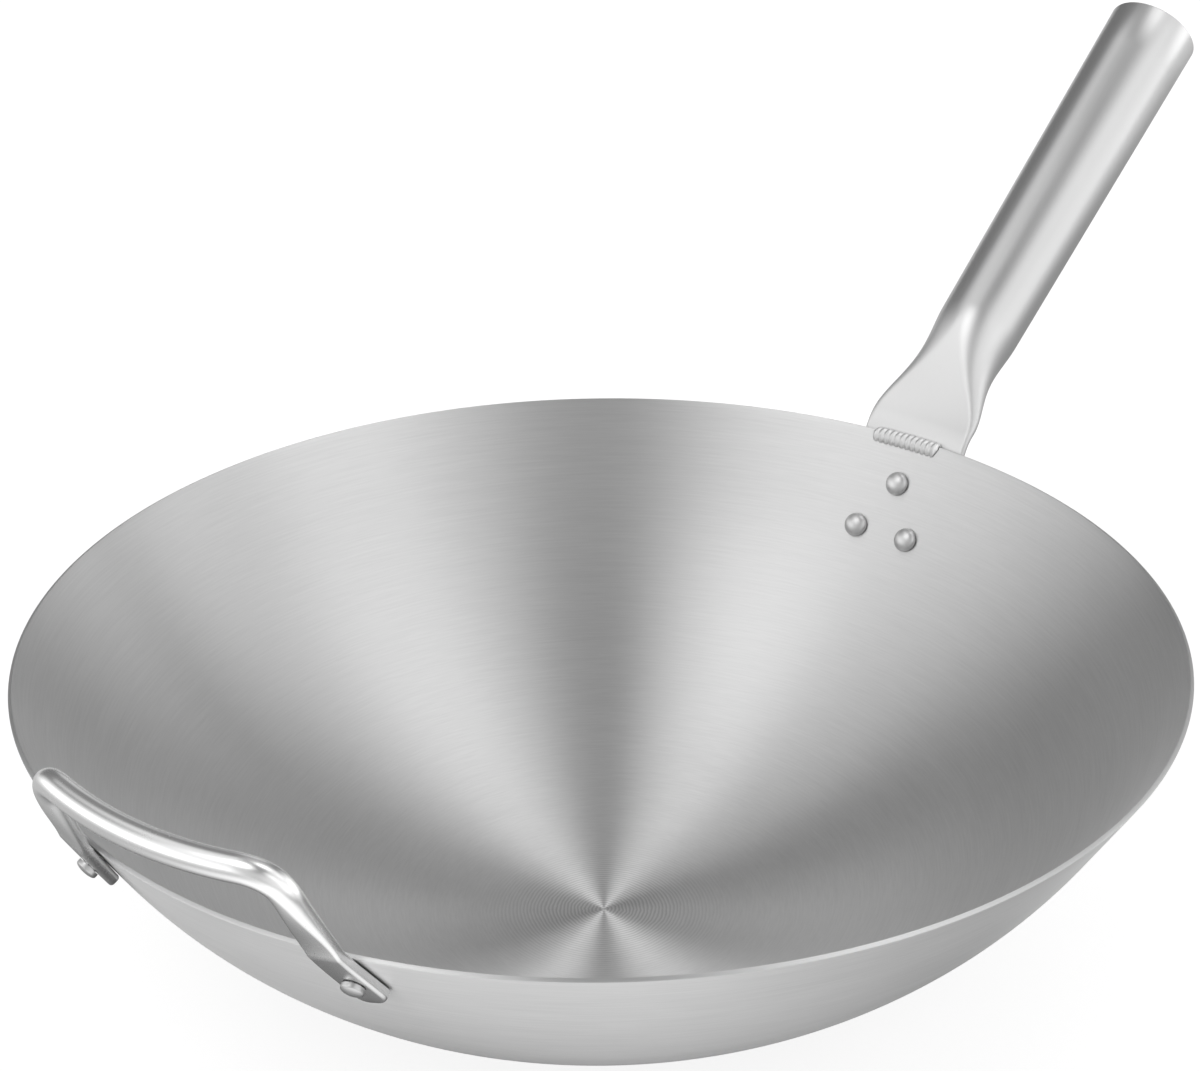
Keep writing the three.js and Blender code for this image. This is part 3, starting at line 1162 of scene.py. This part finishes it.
@dataclass
class RimWeld(Piece):
    """Weld bead that laps from the face of the flattened tube over the rim."""

    wall: Wall
    length: float = 0.0254
    shift: float = 0.0016
    above: float = 0.0014
    below: float = 0.005
    proud: float = 0.0012
    ripples: int = 12
    ripple_depth: float = 0.0005
    ripple_bow: float = 0.0009
    end_height: float = 0.35
    steps: int = 12
    arch_steps: int = 22

    def ring(self, across: float, lowered: float, end: float) -> list[Vector]:
        """Points round the bead.

        Args:
            across: Place along the rim.
            lowered: How far this ring lies below the ripples' tops.
            end: From 0 at the bead's end to 1 along its length.

        Returns:
            The arch over the rim, then the underside back along the tube, the rim and the wall.
        """
        wall = self.wall
        inside = wall.sheet + CLEARANCE
        middle = (self.above - self.below) / 2
        taper = mix(self.end_height, 1.0, end)
        half = ((self.above + self.below) / 2 - lowered) * math.sqrt(taper)
        upper = max(half, 1.5 * CLEARANCE - middle)
        crown = inside + (self.proud - lowered) * taper
        low = math.pi - math.asin(inside / crown)
        points = []
        for step in range(self.arch_steps + 1):
            angle = low * (1 - step / self.arch_steps)
            above = middle + (upper if angle < math.pi / 2 else half) * math.cos(angle)
            ahead = across + self.ripple_bow * math.sin(angle)
            points.append(around(*wall.off(-above, -crown * math.sin(angle)), ahead / wall.mouth_radius))
        foot = middle + half * math.cos(low)
        over_rim = [(CLEARANCE, 0.0), (CLEARANCE, inside / 2), (CLEARANCE, inside)]
        for above, depth in [*over_rim, (mix(CLEARANCE, foot, 0.5), inside)]:
            points.append(around(*wall.off(-above, -depth), across / wall.mouth_radius))
        return points

    def build(self) -> bpy.types.Object:
        """Draws the bead ripple by ripple, with rounded ends.

        Returns:
            The bead.
        """
        start = self.shift - self.length / 2
        count = self.ripples * self.steps
        rings = []
        for step in range(count + 1):
            ripple = abs(math.sin(math.pi * step / self.steps))
            from_end = min(step, count - step) / self.steps
            end = math.sqrt(1 - (1 - min(from_end, 1.0)) ** 2)
            across = start + self.length * step / count
            rings.append(self.ring(across, self.ripple_depth * (1 - ripple), end))
        piece = Shop.drawn(self.name, rings)
        Shop.shade(piece, self.smooth_below)
        return piece


@dataclass
class LoopHandle(Piece):
    """One rod bent to a U, laid out on the wall opposite the tube; its legs are pressed to flat feet."""

    wall: Wall
    holes: list[Matrix]
    hole_radius: float
    rivet_half_span: float
    rivet_drop: float
    foot_thickness: float
    foot_width: float = 0.0108
    foot_edge: float = 0.0012
    foot_margin: float = 0.010
    foot_corner: float = 0.003
    rod: float = 0.0083
    loop_rise: float = 0.036
    shoulder_half_span: float = 0.0389
    knee_half_span: float = 0.0466
    shoulder_bend: float = 0.010
    knee_bend: float = 0.005
    lean_in: float = 0.00428
    bow: float = 0.0024
    edge_steps: int = 12
    toe_steps: int = 6
    foot_steps: int = 8
    knee_steps: int = 10
    leg_steps: int = 18
    shoulder_steps: int = 22
    grip_steps: int = 16
    drill_length: float = 0.014

    @property
    def shoulder(self) -> Vector:
        """Corner between leg and grip on the unrolled wall."""
        return Vector((self.shoulder_half_span, self.loop_rise))

    @property
    def knee(self) -> Vector:
        """Corner between foot and leg, at the rim."""
        return Vector((self.knee_half_span, 0.0))

    @property
    def heel(self) -> Vector:
        """Upper end of the knee's bend, where the leg leaves the wall."""
        return self.towards(self.knee, self.shoulder, self.knee_bend)

    def half_line(self) -> list[Vector]:
        """Lays out half of the rod's middle line on the unrolled wall.

        Returns:
            Points across and up from the rim, from the end of one foot to the grip's middle.
        """
        shoulder = self.shoulder
        knee = self.knee
        heel = self.heel
        rivet = Vector((self.rivet_half_span, -self.rivet_drop))
        foot = self.towards(rivet, knee, -self.foot_margin)
        toe = self.towards(foot, rivet, self.foot_corner)
        knee_in = self.towards(knee, rivet, self.knee_bend)
        shoulder_in = self.towards(shoulder, knee, self.shoulder_bend)
        grip = Vector((self.shoulder_half_span - self.shoulder_bend, self.loop_rise))
        middle = Vector((0.0, self.loop_rise))
        line = [foot.lerp(toe, share * share) for share in spread(0.0, 1.0, self.toe_steps)]
        line += [toe.lerp(knee_in, share) for share in spread(0.0, 1.0, self.foot_steps)]
        line += [self.bent(knee_in, knee, heel, share) for share in spread(0.0, 1.0, self.knee_steps)]
        line += [heel.lerp(shoulder_in, share) for share in spread(0.0, 1.0, self.leg_steps)]
        over = spread(0.0, 1.0, self.shoulder_steps)
        line += [self.bent(shoulder_in, shoulder, grip, share) for share in over]
        line += [grip.lerp(middle, share) for share in spread(0.0, 1.0, self.grip_steps)]
        return [*line, middle]

    @staticmethod
    def towards(start: Vector, end: Vector, length: float) -> Vector:
        """Point at a length from start on the way to end."""
        return start + (end - start).normalized() * length

    @staticmethod
    def bent(start: Vector, corner: Vector, end: Vector, share: float) -> Vector:
        """Point on a rounded corner."""
        return start.lerp(corner, share).lerp(corner.lerp(end, share), share)

    def sizes(self, rise: float) -> tuple[float, float, float]:
        """Eases the section from a pressed bar, up to the heel, to the round grip.

        Args:
            rise: Height from the rim.

        Returns:
            Width, thickness and radius of the edges.
        """
        eased = smooth(rise, self.heel.y, self.loop_rise)
        width = mix(self.foot_width, self.rod, eased)
        thickness = mix(self.foot_thickness, self.rod, eased)
        return width, thickness, mix(self.foot_edge, self.rod / 2, eased)

    def turn(self, across: float) -> float:
        """Turn about the bowl's axis at a distance along the rim."""
        return math.pi + across / self.wall.mouth_radius

    def middle(self, across: float, rise: float) -> Vector:
        """Seats the rod's middle line on the wall up to the heel, from where the leg leans in.

        Args:
            across: Distance along the rim.
            rise: Height from the rim along the wall.

        Returns:
            The point in the frame.
        """
        seated = CLEARANCE + self.sizes(rise)[1] / 2
        bow = self.bow * max(1 - (across / self.shoulder_half_span) ** 2, 0.0)
        raised = min(max((rise - self.heel.y) / (self.loop_rise - self.heel.y), 0.0), 1.0)
        out = mix(seated, bow - self.lean_in, raised)
        return around(*self.wall.off(-rise, out), self.turn(across))

    def build(self) -> bpy.types.Object:
        """Draws the rod from foot to foot and drills its feet.

        Returns:
            The loop.
        """
        half = self.half_line()
        line = [*half, *(Vector((-point.x, point.y)) for point in reversed(half[:-1]))]
        middles = [self.middle(point.x, point.y) for point in line]
        rings = []
        for step, point in enumerate(line):
            before = middles[max(step - 1, 0)]
            after = middles[min(step + 1, len(middles) - 1)]
            ahead = (after - before).normalized()
            side = self.wall.normal(-point.y, self.turn(point.x)).cross(ahead).normalized()
            up = ahead.cross(side)
            end = line[0] if step < len(half) else line[-1]
            width, thickness, edge = self.sizes(point.y)
            width = rounded_end(width, self.foot_corner, (point - end).length)
            section = bar_section(width, thickness, edge, self.edge_steps)
            rings.append([middles[step] + side * across + up * high for across, high in section])
        piece = Shop.drawn(self.name, rings)
        Shop.drill(piece, self.holes, self.hole_radius, self.drill_length)
        Shop.shade(piece, self.smooth_below)
        return piece


# Finishes of this wok

BOWL_FINISH = SpunSteel(
    "spun_sheet_finish", dark=0.6, light=0.79, roughness=0.42, grain=0.08, bump=0.12, aniso=1.0
)
TUBE_FINISH = DrawnTubeSteel(
    "drawn_tube_finish",
    dark=0.55,
    light=0.61,
    roughness=0.34,
    grain=0.06,
    bump=0.04,
    rise=TubeHandle.rise,
    rim=Wall.mouth_radius * math.cos(TubeHandle.rise) + Wall.height * math.sin(TubeHandle.rise),
)
# The weld's two greys span the painted shade of its ripple valleys and its lighter crests.
WELD_FINISH = WeldSteel(
    "weld_bead_finish_and_painted_shade",
    dark=0.44,
    light=0.84,
    roughness=0.5,
    grain=0.12,
    bump=0.12,
    radius=Wall.mouth_radius,
    start=RimWeld.shift - RimWeld.length / 2,
    pitch=RimWeld.length / RimWeld.ripples,
)
ROD_FINISH = Steel("polished_rod_finish", dark=0.74, light=0.8, roughness=0.27, grain=0.03, bump=0.003)
RIVET_FINISH = Steel("satin_rivet_finish", dark=0.5, light=0.57, roughness=0.4, grain=0.06, bump=0.02)


# Assembly


@dataclass
class Wok:
    """The whole wok: bowl, tube handle, weld, loop handle and rivets."""

    wall: Wall = field(default_factory=Wall)
    rivets: RivetSizes = field(default_factory=RivetSizes)
    tube_rivet_drop: float = 0.0165
    tube_rivet_pitch: float = 0.0204
    tab_margin: float = 0.012
    loop_rivet_half_span: float = 0.050
    loop_rivet_drop: float = 0.0093
    foot_thickness: float = 0.0036

    @property
    def tab_thickness(self) -> float:
        """Thickness of the tube's flat tab."""
        return 2 * TubeHandle.sheet

    @property
    def lower_drop(self) -> float:
        """Distance of the two lower rivets below the rim."""
        return self.tube_rivet_drop + self.tube_rivet_pitch * math.sin(math.pi / 3)

    def rivet(self, name: str, node: str, drop: float, across: float, hold: Hold) -> Rivet:
        """Describes one rivet.

        Args:
            name: Name of the piece.
            node: Solid that it stands for.
            drop: Distance below the rim.
            across: Distance from the handle's middle line.
            hold: What it holds.

        Returns:
            The rivet, not built yet.
        """
        if hold is Hold.TAB:
            turn = across / self.wall.off(drop, 0.0)[0]
            held = self.tab_thickness
        else:
            turn = math.pi + across / self.wall.mouth_radius
            held = self.foot_thickness
        finish = RIVET_FINISH
        flush = hold is Hold.FOOT
        return Rivet(name, node, Slot.RIVET, finish, self.wall, self.rivets, drop, turn, held, flush)

    def pieces(self) -> list[Piece]:
        """Describes every piece in the order of assembly.

        Returns:
            The pieces, not built yet.
        """
        reach = self.tube_rivet_pitch / 2
        span = self.loop_rivet_half_span
        tab_rivets = [
            self.rivet("tube_rivet_upper", "handle_rivet_upper", self.tube_rivet_drop, 0.0, Hold.TAB),
            self.rivet("tube_rivet_left", "handle_rivet_lower_left", self.lower_drop, reach, Hold.TAB),
            self.rivet("tube_rivet_right", "handle_rivet_lower_right", self.lower_drop, -reach, Hold.TAB),
        ]
        foot_rivets = [
            self.rivet("foot_rivet_left", "loop_rivet_left", self.loop_rivet_drop, -span, Hold.FOOT),
            self.rivet("foot_rivet_right", "loop_rivet_right", self.loop_rivet_drop, span, Hold.FOOT),
        ]
        for kind in (tab_rivets, foot_rivets):
            for rivet in kind[1:]:
                rivet.first = kind[0]
        tab_holes = [rivet.hole() for rivet in tab_rivets]
        foot_holes = [rivet.hole() for rivet in foot_rivets]
        hole_radius = self.rivets.shank / 2 + CLEARANCE
        holes = [*tab_holes, *foot_holes]
        bowl = Bowl("spun_bowl", "wok_bowl", Slot.BOWL, BOWL_FINISH, self.wall, holes, hole_radius)
        tube = TubeHandle(
            "tube_handle",
            "handle_tube",
            Slot.HANDLE,
            TUBE_FINISH,
            self.wall,
            tab_holes,
            hole_radius,
            self.lower_drop + self.tab_margin,
        )
        weld = RimWeld("weld_bead", "rim_weld_bead", Slot.WELD, WELD_FINISH, self.wall)
        loop = LoopHandle(
            "loop_rod",
            "loop_handle",
            Slot.ROD,
            ROD_FINISH,
            self.wall,
            foot_holes,
            hole_radius,
            span,
            self.loop_rivet_drop,
            self.foot_thickness,
        )
        return [bowl, tube, weld, *tab_rivets, loop, *foot_rivets]


# Studio


@dataclass(frozen=True)
class Softbox:
    """A large soft lamp, placed as the camera sees it.

    Attributes:
        name: Name of the lamp.
        right: Distance to the right of what it faces.
        away: Distance behind that.
        up: Distance above that.
        width: Size across.
        depth: Size the other way.
        glow: Radiance of its face.
    """

    name: str
    right: float
    away: float
    up: float
    width: float
    depth: float
    glow: float


@dataclass(frozen=True)
class Panel:
    """A soft bright patch of the room.

    Attributes:
        turn: Degrees to the right of the way that the camera looks.
        height: Degrees above the horizon.
        spread: Degrees from its middle to where it fades out.
        glow: Level at its middle.
    """

    turn: float
    height: float
    spread: float
    glow: float

    def way(self) -> tuple[float, float, float]:
        """Direction of its middle: right, away and up.

        Returns:
            The direction, of length 1.
        """
        flat = math.cos(math.radians(self.height))
        turn = math.radians(self.turn)
        return flat * math.sin(turn), flat * math.cos(turn), math.sin(math.radians(self.height))


@dataclass(frozen=True)
class FloorGlow:
    """How brightly the floor shows in the metal: a patch in front of the bowl, and all round it, with a
    painted shadow under the bowl.

    Attributes:
        level: Level of the floor as the camera sees it.
        patch: Level of the patch, against the floor's.
        patch_left: How far its middle lies to the left.
        patch_wide: Half widths where it begins to fade and has faded.
        patch_near: Distances in front where it begins and is full.
        patch_far: Distances in front where it begins to fade and has faded.
        near: Level close to the bowl.
        near_left: What the left side has more of it.
        left_of: Places across where that begins and is full.
        shade: Radii where the painted shadow under the bowl ends.
        far: Level far from the bowl.
        away: Radii between which near turns to far.
    """

    level: float = 0.85
    patch: float = 1.1
    patch_left: float = 0.05
    patch_wide: tuple[float, float] = (0.06, 0.34)
    patch_near: tuple[float, float] = (0.13, 0.25)
    patch_far: tuple[float, float] = (0.7, 1.3)
    near: float = 0.22
    near_left: float = 0.25
    left_of: tuple[float, float] = (0.1, -0.2)
    shade: tuple[float, float] = (0.15, 0.28)
    far: float = 0.8
    away: tuple[float, float] = (0.5, 1.1)

    def seen(self, x: Value, y: Value, side: Value, front: Value) -> Value:
        """Adds up the patch and what lies round the bowl.

        Args:
            x: Place along X.
            y: Place along Y.
            side: Place to the right, as the camera sees it.
            front: Place towards the camera.

        Returns:
            The level, against the floor's.
        """
        apart = (side + self.patch_left).maths("ABSOLUTE")
        patch = (1 - apart.eased(*self.patch_wide)) * front.eased(*self.patch_near)
        patch = patch * (1 - front.eased(*self.patch_far))
        radius = (x * x + y * y) ** 0.5
        near = side.eased(*self.left_of) * self.near_left + self.near
        round_it = near + (self.far - near) * radius.eased(*self.away)
        # The glow is held dark under the bowl: a painted shadow that the metal reflects.
        return patch * self.patch + radius.eased(*self.shade) * round_it


@dataclass
class Studio:
    """White floor, soft lamps, a pale room with soft panels, and the camera.

    Attributes:
        camera_place: Where the photograph was taken from, by a fit to the rim, the outline and the rivets.
        camera_right: What points right in the picture.
        camera_up: What points up in the picture.
        lens: Focal length in millimetres.
        sensor_width: Width of the picture on the sensor, in millimetres.
        clip_start: Nearest distance that the camera sees.
        aim: Point that the softboxes face.
        fill: Level of the room between its panels.
        floor_size: Side of the floor.
        floor_height: Height of the floor, a little below the base.
        floor_grey: Grey of the floor's paint.
        floor_glow: How brightly the floor shows in the metal.
        softboxes: The lamps.
        panels: The room's bright patches, by a fit of the metal's grey levels to the photograph's.
    """

    camera_place: tuple[float, float, float] = (-0.681762, -0.525407, 0.576713)
    camera_right: tuple[float, float, float] = (0.605284, -0.795922, -0.011811)
    camera_up: tuple[float, float, float] = (0.369014, 0.267419, 0.890121)
    lens: float = 96.05
    sensor_width: float = 36.0
    clip_start: float = 0.01
    aim: tuple[float, float, float] = (0.0, 0.0, 0.09)
    fill: float = 0.22
    floor_size: float = 12.0
    floor_height: float = -0.0002
    floor_grey: float = 0.25
    floor_glow: FloorGlow = field(default_factory=FloorGlow)
    softboxes: tuple[Softbox, ...] = (
        Softbox("left_softbox", right=-0.59, away=-0.44, up=1.31, width=0.9, depth=0.9, glow=0.55),
        Softbox("right_softbox", right=0.92, away=0.03, up=1.19, width=1.0, depth=1.0, glow=0.3),
    )
    panels: tuple[Panel, ...] = (
        Panel(-91.4, -8.7, 56.9, 1.69),
        Panel(58.6, 70.7, 17.0, 1.65),
        Panel(-126.8, 60.5, 22.6, 1.09),
        Panel(62.9, -3.5, 41.0, 1.15),
        Panel(-110.6, 59.2, 25.0, 0.93),
        Panel(88.1, 52.2, 26.1, 0.62),
        Panel(-52.6, 57.3, 17.9, 0.86),
        Panel(149.8, 12.7, 48.1, 0.82),
        Panel(139.3, 45.3, 18.8, 0.82),
        Panel(100.3, 3.6, 53.4, 0.75),
        Panel(7.3, 21.2, 16.9, 0.65),
        Panel(-133.2, 15.4, 55.6, 0.54),
        Panel(20.7, 59.5, 31.3, 0.34),
        Panel(99.3, -3.6, 54.1, 0.26),
    )

    @property
    def away(self) -> Vector:
        """Level direction from the camera to the bowl."""
        return Vector((-self.camera_place[0], -self.camera_place[1], 0.0)).normalized()

    @property
    def right(self) -> Vector:
        """Level direction to the right, as the camera sees it."""
        return self.away.cross(UP)

    def set_up(self) -> None:
        """Builds the floor, the world, the lamps and the camera."""
        self.floor()
        self.world()
        for box in self.softboxes:
            self.lamp(box)
        self.camera()
        bpy.context.scene.view_settings.view_transform = "Standard"

    def floor(self) -> None:
        """Lays a pale floor that keeps a faint shadow and is clear from below."""
        Shop.clear()
        bpy.ops.mesh.primitive_plane_add(size=self.floor_size, location=(0.0, 0.0, self.floor_height))
        floor = Shop.rename(bpy.context.object, "studio_floor")
        paint = bpy.data.materials.new("floor_paint")
        graph = Graph(paint)
        x, y, _ = graph.places()
        side = x * self.right.x + y * self.right.y
        front = x * -self.away.x + y * -self.away.y
        direct = graph.rays("Is Camera Ray", "Is Transmission Ray")
        # Glossy rays also see the floor's glow, with its painted shadow under the bowl.
        seen = direct + graph.rays("Is Glossy Ray") * self.floor_glow.seen(x, y, side, front)
        grey = self.floor_grey
        matt = graph.add("ShaderNodeBsdfDiffuse", None, {"Color": (grey, grey, grey, 1.0)})
        level = seen * self.floor_glow.level
        glow = graph.add("ShaderNodeEmission", None, {"Color": WHITE, "Strength": level})
        both = graph.add("ShaderNodeAddShader", None, {0: matt.outputs[0], 1: glow.outputs[0]})
        below = graph.add("ShaderNodeNewGeometry").outputs["Backfacing"]
        clear = graph.add("ShaderNodeBsdfTransparent")
        sided = graph.add(
            "ShaderNodeMixShader", None, {0: below, 1: both.outputs[0], 2: clear.outputs[0]}
        )
        graph.add("ShaderNodeOutputMaterial", None, {"Surface": sided.outputs[0]})
        floor.data.materials.append(paint)

    def world(self) -> None:
        """Surrounds the object with a pale room that has soft bright panels."""
        world = bpy.data.worlds.new("studio")
        bpy.context.scene.world = world
        graph = Graph(world)
        x, y, z = graph.places("Generated")
        side = x * self.right.x + y * self.right.y
        depth = x * self.away.x + y * self.away.y
        glows = []
        for panel in self.panels:
            right, away, up = panel.way()
            facing = side * right + depth * away + z * up
            glows.append(facing.eased(math.cos(math.radians(panel.spread)), 1.0) * panel.glow)
        level = sum(glows, self.fill)
        seen = graph.rays("Is Camera Ray", "Is Transmission Ray")
        strength = level * (1 - seen) + seen
        back = graph.add("ShaderNodeBackground", None, {"Color": WHITE, "Strength": strength})
        graph.add("ShaderNodeOutputWorld", None, {"Surface": back.outputs[0]})

    def lamp(self, box: Softbox) -> None:
        """Hangs one softbox that faces the bowl.

        Args:
            box: The softbox.
        """
        aim = Vector(self.aim)
        place = aim + self.right * box.right + self.away * box.away + UP * box.up
        data = bpy.data.lights.new(box.name, "AREA")
        data.shape = "RECTANGLE"
        data.size = box.width
        data.size_y = box.depth
        data.energy = box.glow * math.pi * box.width * box.depth
        lamp = bpy.data.objects.new(box.name, data)
        bpy.context.scene.collection.objects.link(lamp)
        back = (place - aim).normalized()
        deep = (self.away - back * back.dot(self.away)).normalized()
        wide = deep.cross(back)
        lamp.matrix_world = Matrix.Translation(place) @ Matrix((wide, deep, back)).transposed().to_4x4()

    def camera(self) -> None:
        """Sets the camera where the photograph was taken from."""
        data = bpy.data.cameras.new("camera")
        data.lens = self.lens
        data.sensor_width = self.sensor_width
        data.clip_start = self.clip_start
        camera = bpy.data.objects.new("camera", data)
        bpy.context.scene.collection.objects.link(camera)
        right = Vector(self.camera_right).normalized()
        back = right.cross(Vector(self.camera_up)).normalized()
        up = back.cross(right)
        camera.matrix_world = (
            Matrix.Translation(Vector(self.camera_place))
            @ Matrix((right, up, back)).transposed().to_4x4()
        )
        bpy.context.scene.camera = camera


def main() -> None:
    """Loads the frame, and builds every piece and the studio."""
    logging.basicConfig(level=logging.INFO, format="%(name)s: %(message)s")
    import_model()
    pieces = Wok().pieces()
    models = [piece.build() for piece in pieces]
    for piece, model in zip(pieces, models, strict=True):
        piece.settle(model)
    Studio().set_up()
    Shop.clear()


if __name__ == "__main__":
    main()
